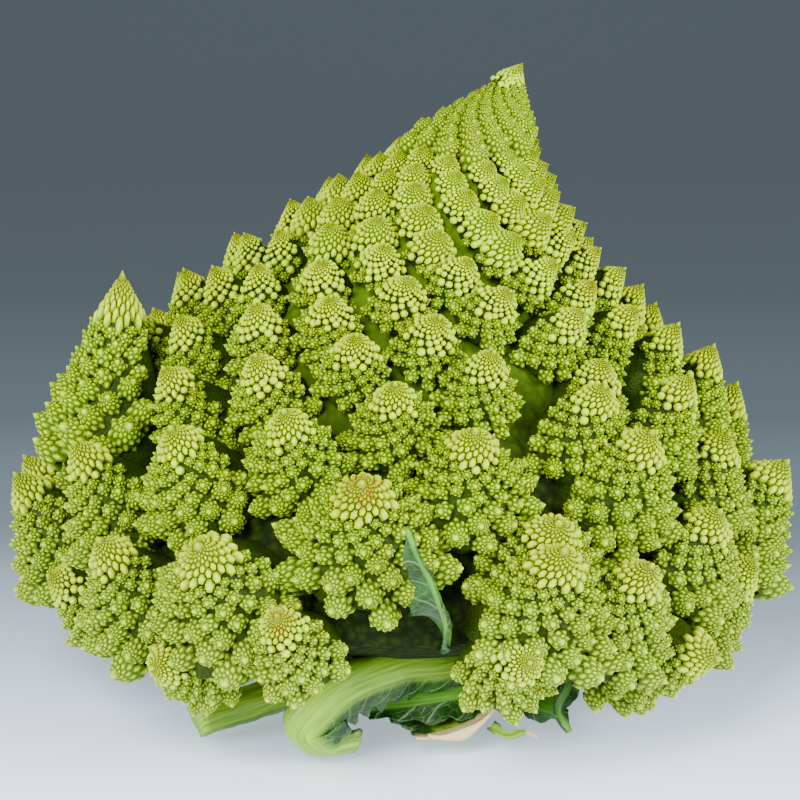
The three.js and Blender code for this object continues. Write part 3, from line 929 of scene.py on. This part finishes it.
def make_stalk():
    """The cut stump, with shallow flutes where the leaves grew."""
    sides = 72
    verts = [(0, 0, 0)]
    for level, (z, radius) in enumerate(STALK):
        for k in range(sides):
            angle = 2 * math.pi * k / sides
            flute = FLUTE_DEPTH * math.cos(FLUTES * angle + z * 0.12) * min(1.0, level / 2)
            r = radius + flute - FLUTE_DEPTH * min(1.0, level / 2)
            verts.append((r * math.cos(angle), r * math.sin(angle), z))
    verts.append((0, 0, STALK[-1][0]))
    # Its rings go upwards, so the faces are turned over
    faces = [face[:1] + face[:0:-1] for face in ringed_faces(sides, len(STALK))]
    mesh = bpy.data.meshes.new("cut_stalk")
    mesh.from_pydata([MIDDLE_OF_HEAD + Vector(v) * MM for v in verts], [], faces)
    mesh.shade_smooth()
    mesh.materials.append(stalk_material())
    piece = placed("cut_stalk", mesh)
    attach(piece, "root")
    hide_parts("stalk")


def curve_point(points, t):
    """A point at share t of the smooth curve through points, as the solids' leaves have it."""
    place = min(max(t, 0.0), 1.0) * (len(points) - 1)
    low = min(int(place), len(points) - 2)
    part = place - low
    before = points[low - 1] if low > 0 else points[0] * 2 - points[1]
    after = points[low + 2] if low + 2 < len(points) else points[-1] * 2 - points[-2]
    a, b = points[low], points[low + 1]
    gaps = [max((q - p).length, 0.001) ** 0.5 for p, q in ((before, a), (a, b), (b, after))]
    start = ((a - before) / gaps[0] - (b - before) / (gaps[0] + gaps[1]) + (b - a) / gaps[1]) * gaps[1]
    end = ((b - a) / gaps[1] - (after - a) / (gaps[1] + gaps[2]) + (after - b) / gaps[2]) * gaps[1]
    square, cube = part * part, part**3
    return (
        a * (1 - 3 * square + 2 * cube)
        + b * (3 * square - 2 * cube)
        + start * (part - 2 * square + cube)
        + end * (cube - square)
    )


def between(values, t):
    place = t * (len(values) - 1)
    low = min(int(place), len(values) - 2)
    return values[low] + (values[low + 1] - values[low]) * (place - low)


# Each leaf or leaf stump, in millimetres from the middle of the foot. The blade reaches left and right of
# its rib by so much along the spine; curl rolls it towards its front; rib is the rib's half width and height.
LEAVES = {
    "curled_leaf": [{
        "spine": [
            (6, -17, 18), (12, -36, 21), (-1, -56, 27), (-16, -64, 22.5),
            (-25, -65, 12), (-21, -60, 5), (-12, -53, 3),
        ],
        "faces": [(0.1, -0.6, 0.8), (-0.6, -0.5, -0.8)],
        "left": (5, 9, 13, 15, 14, 10, 6), "right": (4, 4.6, 5.2, 6, 7.4, 7.4, 5),
        "rib": (5.6, 2.8), "curl": -1.5, "ruffle": 0.8, "ragged": 0.16, "steps": 56,
    }],
    "inner_leaf": [{
        "spine": [(9, -15.5, 12), (18, -28, 12), (17, -40, 13), (8, -45, 13), (-8, -46, 11)],
        "faces": [(0.9, -0.4, 0.5), (-0.2, -1, 0.5)],
        "left": (3, 5, 7, 7, 3), "right": (3, 5, 7, 6, 3),
        "rib": (1.3, 0.8), "curl": 0.5, "ruffle": 1.3, "ragged": 0.2, "steps": 44,
    }],
    "torn_leaf": [{
        "spine": [(3.6, -17.4, 5), (7, -30, 5), (11, -43, 5.6), (15, -54, 7)],
        "faces": [(0, -0.3, 1), (0.1, -0.75, 0.8)],
        "left": (6, 8, 11, 9), "right": (6, 9, 12, 9),
        "rib": (4, 1.8), "curl": 0.5, "ruffle": 0.7, "ragged": 0.22, "steps": 44, "cut": 1.0,
    }, {
        "spine": [(22, -50, 7), (26, -53, 6), (30, -54, 7.4), (33, -55, 6.6)],
        "faces": [(0, -0.5, 1), (0.1, -0.6, 1)],
        "left": (1.6, 0.9, 0.6, 0.35), "right": (1.4, 0.8, 0.5, 0.35),
        "rib": (1, 0.2), "curl": 0.8, "ruffle": 0.3, "ragged": 0.5, "steps": 24, "cut": 3.0,
    }],
    "right_leaf": [{
        "spine": [(14.6, -10.3, 10), (26, -24, 10), (34, -34, 9), (40, -41, 10)],
        "faces": [(0.2, -0.5, 1), (0.3, -1, 0.5)],
        "left": (5, 6, 7, 4), "right": (5, 6, 6, 3),
        "rib": (3, 1.4), "curl": -0.6, "ruffle": 0.7, "ragged": 0.15, "steps": 36,
    }, {
        "spine": [(37, -26, 22), (43, -38, 23), (41, -43, 16), (38, -45, 10), (41, -46, 4.5)],
        "faces": [(0.2, -0.9, 0.5), (0.7, -0.9, 0.1)],
        "left": (2, 3, 3.6, 3, 0.6), "right": (2, 3, 3.4, 2.6, 0.6),
        "rib": (0.9, 0.6), "curl": 1.4, "ruffle": 0.5, "ragged": 0.15, "steps": 36,
    }],
    "petiole_stub": [{
        "spine": [(-13.9, -11.1, 10), (-30, -27, 8.5), (-49, -43, 7.4)],
        "faces": [(-0.3, -0.9, 0.5), (-0.3, -0.9, 0.4)],
        "left": (5, 4.8, 4.6), "right": (5, 4.8, 4.4),
        "rib": (4.5, 4.2), "curl": -0.7, "ruffle": 0.2, "ragged": 0.04, "steps": 30,
    }],
    "upright_leaf": [{
        "spine": [
            (3, -17.4, 30), (8, -40, 29), (10, -60, 31), (10.5, -78, 37),
            (10.6, -90, 47), (7.4, -96, 58), (4, -99, 66), (1.6, -101, 73),
        ],
        "faces": [(-0.6, -0.6, 0.6), (-0.25, -1, 0.3)],
        "left": (3, 5, 8, 10.5, 9, 4.6, 3.4, 0.5), "right": (0.8, 0.9, 1.0, 1.1, 1.0, 0.9, 0.8, 0.5),
        "rib": (0.5, 1.0), "curl": 0.6, "ruffle": 0.9, "ragged": 0.18, "steps": 52,
    }],
    "left_leaf": [{
        "spine": [(-17.8, -1, 13), (-34, -13, 15), (-52, -24, 15), (-69, -31, 19)],
        "faces": [(0, -0.8, 0.7), (-0.2, -0.9, 0.4)],
        "left": (2.5, 4, 6, 2), "right": (2.5, 4, 6, 2),
        "rib": (1.3, 0.8), "curl": 0.6, "ruffle": 1.2, "ragged": 0.25, "steps": 36,
    }],
    "far_right_leaf": [{
        "spine": [(17.8, 1, 13), (36, -10, 13), (55, -21, 12), (74, -29, 15)],
        "faces": [(0, -0.8, 0.7), (0.2, -0.9, 0.5)],
        "left": (2.5, 4, 6, 2), "right": (2.5, 4, 6, 2),
        "rib": (1.3, 0.8), "curl": 0.6, "ruffle": 1.2, "ragged": 0.25, "steps": 36,
    }],
    "back_leaf_left": [{
        "spine": [(-9, 15.3, 8), (-22, 36, 8), (-36, 54, 12)],
        "faces": [(0, 0.3, 1), (-0.1, 0.5, 1)],
        "left": (5, 9, 7), "right": (5, 9, 7),
        "rib": (3.4, 2), "curl": 0.6, "ruffle": 1.0, "ragged": 0.2, "steps": 36,
    }],
    "back_leaf_right": [{
        "spine": [(10.7, 14.2, 8), (24, 34, 9), (38, 50, 13)],
        "faces": [(0, 0.3, 1), (0.1, 0.5, 1)],
        "left": (5, 8, 6), "right": (5, 8, 6),
        "rib": (3.4, 2), "curl": 0.6, "ruffle": 1.0, "ragged": 0.2, "steps": 36,
    }],
}
PALE_LEAVES = ("curled_leaf", "torn_leaf", "petiole_stub")
BLADE = 0.9
LEAF_COLUMNS = 18


def blade_mesh(name, leaf, draw):
    """A closed leaf blade along its spine, with its rib, curl, ruffles and ragged rim."""
    spine = [Vector(p) for p in leaf["spine"]]
    first, last = (Vector(v) for v in leaf["faces"])
    steps = leaf["steps"]
    shifts = [draw.uniform(0, 2 * math.pi) for _ in range(6)]
    verts, rim, along_mm, across_mm, back = [], [], [], [], []
    travelled = 0.0
    before = curve_point(spine, 0.0)
    for i in range(steps + 1):
        t = i / steps
        middle = curve_point(spine, t)
        travelled += (middle - before).length
        before = middle
        along = (curve_point(spine, t + 0.01) - curve_point(spine, t - 0.01)).normalized()
        front = first.lerp(last, t)
        front = (front - along * front.dot(along)).normalized()
        side = along.cross(front)
        for k in range(LEAF_COLUMNS + 1):
            u = 2 * k / LEAF_COLUMNS - 1
            reach = between(leaf["left"] if u < 0 else leaf["right"], t)
            notch = math.sin(travelled * 0.9 + shifts[0]) + 0.6 * math.sin(travelled * 2.1 + shifts[1])
            reach *= 1 + leaf["ragged"] * 0.6 * notch * abs(u) ** 3
            angle = leaf["curl"] * abs(u)
            turn = angle if abs(angle) > 0.001 else 0.001
            flat = reach * abs(u) * math.sin(turn) / turn
            up = reach * abs(u) * (1 - math.cos(turn)) / turn
            wave = math.sin(travelled * 0.42 + shifts[2 if u < 0 else 3])
            wave += 0.5 * math.sin(travelled * 1.1 + shifts[4])
            ruffle = leaf["ruffle"] * wave * abs(u) ** 2
            point = middle + side * math.copysign(flat, u) + front * (up + ruffle)
            rib_half, rib_height = leaf["rib"]
            rib = rib_height * math.exp(-((reach * u / rib_half) ** 2))
            point_front = point + front * (BLADE / 2 + 0.3 * rib)
            point_back = point - front * (BLADE / 2 + 0.7 * rib)
            for is_back, place in enumerate((point_front, point_back)):
                verts.append(MIDDLE_OF_HEAD + place * MM)
                rim.append(min(1.0, reach * abs(u) / (rib_half * 2.2)))
                along_mm.append(travelled)
                across_mm.append(reach * u)
                back.append(float(is_back))

    def at(i, k, side_of):
        return 2 * (i * (LEAF_COLUMNS + 1) + k) + side_of

    faces = []
    for i in range(steps):
        for k in range(LEAF_COLUMNS):
            a, b, c, d = at(i, k, 0), at(i, k + 1, 0), at(i + 1, k + 1, 0), at(i + 1, k, 0)
            faces += [(a, b, c), (a, c, d), (a + 1, c + 1, b + 1), (a + 1, d + 1, c + 1)]
    edge = [at(i, 0, 0) for i in range(steps)]
    edge += [at(steps, k, 0) for k in range(LEAF_COLUMNS)]
    edge += [at(i, LEAF_COLUMNS, 0) for i in range(steps, 0, -1)]
    edge += [at(0, k, 0) for k in range(LEAF_COLUMNS, 0, -1)]
    for n, a in enumerate(edge):
        b = edge[(n + 1) % len(edge)]
        faces += [(a, b, b + 1), (a, b + 1, a + 1)]
    mesh = outward_mesh(name, verts, faces)
    ends = [leaf.get("cut", 0.0) * max(0.0, (a - travelled * 0.72) / (travelled * 0.28)) for a in along_mm]
    layers = {"rim": rim, "along": along_mm, "across": across_mm, "back": back, "torn": ends}
    for key, values in layers.items():
        mesh.attributes.new(key, "FLOAT", "POINT").data.foreach_set("value", values)
    mesh.shade_smooth()
    return mesh


def leaf_material(name, rib_dark, rib_pale, blade_dark, blade_pale, gloss):
    """Living brassica leaf: waxy, with a smooth pale rib, a darker blade and pale veins from the rib."""
    material, tree, shader = new_material(name)
    place = add(tree, "ShaderNodeTexCoord").outputs["Object"]
    read = {
        key: add(tree, "ShaderNodeAttribute", {"attribute_name": key}).outputs["Fac"]
        for key in ("rim", "along", "across", "back", "torn")
    }

    # Rib: faint streaks along it, about 0.6 mm apart
    streak_place = add(
        tree, "ShaderNodeCombineXYZ", X=("MULTIPLY", read["along"], 0.08),
        Y=("MULTIPLY", read["across"], 1.6),
    )
    streaks = add(tree, "ShaderNodeTexNoise", Vector=streak_place, Scale=1.0, Detail=3.0)
    rib = add(tree, "ShaderNodeValToRGB", i0=streaks)
    set_stops(rib, {0.3: rib_dark, 0.72: rib_pale})

    # Blade: side veins every 7 mm, slanting forwards, with a net of finer ones between
    bend = add(tree, "ShaderNodeTexNoise", Vector=place, Scale=120.0, Detail=2.0)
    slant = ("SUBTRACT", read["along"], ("MULTIPLY", ("ABSOLUTE", read["across"]), 0.9))
    bent = ("ADD", slant, ("MULTIPLY", bend, 6.0))
    saw = ("ABSOLUTE", ("SUBTRACT", ("FRACT", ("DIVIDE", bent, 7.0)), 0.5))
    side_vein = add(tree, "ShaderNodeMapRange", i0=saw, i1=0.07, i2=0.02)
    net_place = add(tree, "ShaderNodeCombineXYZ", X=read["along"], Y=read["across"])
    cells = add(
        tree, "ShaderNodeTexVoronoi", {"feature": "DISTANCE_TO_EDGE"}, Vector=net_place, Scale=0.45
    ).outputs["Distance"]
    net_vein = add(tree, "ShaderNodeMapRange", i0=cells, i1=0.06, i2=0.01)
    veins = add(tree, "ShaderNodeMath:MAXIMUM", i0=side_vein, i1=("MULTIPLY", net_vein, 0.45))
    clouds = add(tree, "ShaderNodeTexNoise", Vector=place, Scale=150.0, Detail=3.0)
    blade = add(tree, "ShaderNodeValToRGB", i0=clouds)
    set_stops(blade, {0.35: blade_dark, 0.7: blade_pale})
    # The back has a blue-grey bloom
    bloomed = add(
        tree, "ShaderNodeMix", COLOURS, i0=("MULTIPLY", read["back"], 0.06), i6=blade, i7=linear("#5C8F78")
    )
    veined = add(
        tree, "ShaderNodeMix", COLOURS, i0=("MULTIPLY", veins, 0.22), i6=bloomed, i7=linear("#9CC070")
    )
    past_rib = add(tree, "ShaderNodeMapRange", i0=read["rim"], i1=0.42, i2=0.62)
    whole = add(tree, "ShaderNodeMix", COLOURS, i0=past_rib, i6=rib, i7=veined)
    # Torn ends have dried beige, with fibres
    dried = add(
        tree, "ShaderNodeMapRange", i0=("ADD", read["torn"], ("MULTIPLY", clouds, 0.5)), i1=0.75, i2=0.95
    )
    ended = add(tree, "ShaderNodeMix", COLOURS, i0=dried, i6=whole, i7=linear("#C2AE7C"))
    relief = ("ADD", ("MULTIPLY", ("MULTIPLY", veins, past_rib), 0.7), ("MULTIPLY", streaks, 0.25))
    bump = add(tree, "ShaderNodeBump", Height=relief, Strength=0.6, Distance=0.0005)
    give(shader, Base_Color=ended, Normal=bump, Roughness=gloss, IOR=1.45, Specular_IOR_Level=0.3)
    give(shader, Subsurface_Weight=0.1, Subsurface_Scale=0.001)
    return material


def make_leaves():
    ribbed = leaf_material("romanesco_leaf_rib", "#557F0C", "#8DB52C", "#0E2A06", "#225010", 0.4)
    bladed = leaf_material("romanesco_leaf_blade", "#2C5E0C", "#568E22", "#0C2606", "#205010", 0.42)
    for name, parts in LEAVES.items():
        draw = random.Random(SEED + len(name))
        for part in parts:
            mesh = blade_mesh(f"{name}_blade", part, draw)
            mesh.materials.append(ribbed if name in PALE_LEAVES else bladed)
            piece = placed(f"{name}_blade", mesh)
            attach(piece, "root")
            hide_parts(name)


def make_camera():
    aim = MIDDLE_OF_HEAD + Vector((0, 0, CAMERA_AIM_HEIGHT))
    away = Vector((0, -math.cos(CAMERA_ELEVATION), math.sin(CAMERA_ELEVATION)))
    lens = bpy.data.cameras.new("camera")
    lens.sensor_width = 36
    lens.lens = CAMERA_LENS
    camera = placed("camera", lens)
    camera.location = aim + away * CAMERA_DISTANCE
    camera.rotation_euler = (aim - camera.location).to_track_quat("-Z", "Y").to_euler()
    bpy.context.scene.camera = camera


def make_light(name, place, size, power):
    lamp = bpy.data.lights.new(name, "AREA")
    lamp.size = size
    lamp.energy = power
    light = placed(name, lamp)
    light.location = place
    light.rotation_euler = (Vector((0, 0, 0.08)) - light.location).to_track_quat("-Z", "Y").to_euler()


FLOOR_SIZE = 6.0
# Shades of the paper, holding painted light that falls off behind the head, from under the head at 0 to 1.1 m
# behind it at 1
PAPER_WITH_PAINTED_LIGHT = {
    0: "#F0F9FF", 0.06: "#D4E2F4", 0.115: "#AEBFCE", 0.2: "#75868F",
    0.3: "#546168", 0.45: "#4A555A", 0.65: "#515D63", 1: "#68757D",
}


def floor_material():
    """Studio paper, matt, with painted light: near white under the head and slate grey further back."""
    material, tree, shader = new_material("studio_paper")
    place = add(tree, "ShaderNodeTexCoord").outputs["Object"]
    depth = add(tree, "ShaderNodeSeparateXYZ", Vector=place).outputs["Y"]
    level = add(tree, "ShaderNodeMapRange", i0=depth, i1=-0.1, i2=1.1)
    ramp = add(tree, "ShaderNodeValToRGB", i0=level)
    set_stops(ramp, PAPER_WITH_PAINTED_LIGHT)
    # Painted light: the paper glows near the head, softening the shadow under it
    painted_glow = add(tree, "ShaderNodeMapRange", i0=depth, i1=0.12, i2=-0.02, i3=0.0, i4=0.42)
    give(shader, Base_Color=ramp, Roughness=0.5, Emission_Color=linear("#DCEAFF"), Emission_Strength=painted_glow)
    return material


def make_stage():
    mesh = bpy.data.meshes.new("floor")
    half = FLOOR_SIZE / 2
    corners = [(-half, -half, 0), (half, -half, 0), (half, half, 0), (-half, half, 0)]
    mesh.from_pydata(corners, [], [(0, 1, 2, 3)])
    floor = placed("floor", mesh)
    mesh.materials.append(floor_material())
    world = bpy.data.worlds.new("studio")
    world.use_nodes = True
    world.node_tree.nodes["Background"].inputs["Color"].default_value = linear("#AEB8BE")
    world.node_tree.nodes["Background"].inputs["Strength"].default_value = 0.4
    bpy.context.scene.world = world


make_camera()
make_stage()
make_light("key", (-0.35, -0.95, 0.75), 0.5, 26)
make_light("fill", (0.8, -0.6, 0.35), 0.6, 29)
make_light("left_fill", (-0.8, -0.6, 0.35), 0.6, 16)
make_curd()
make_stalk()
make_leaves()
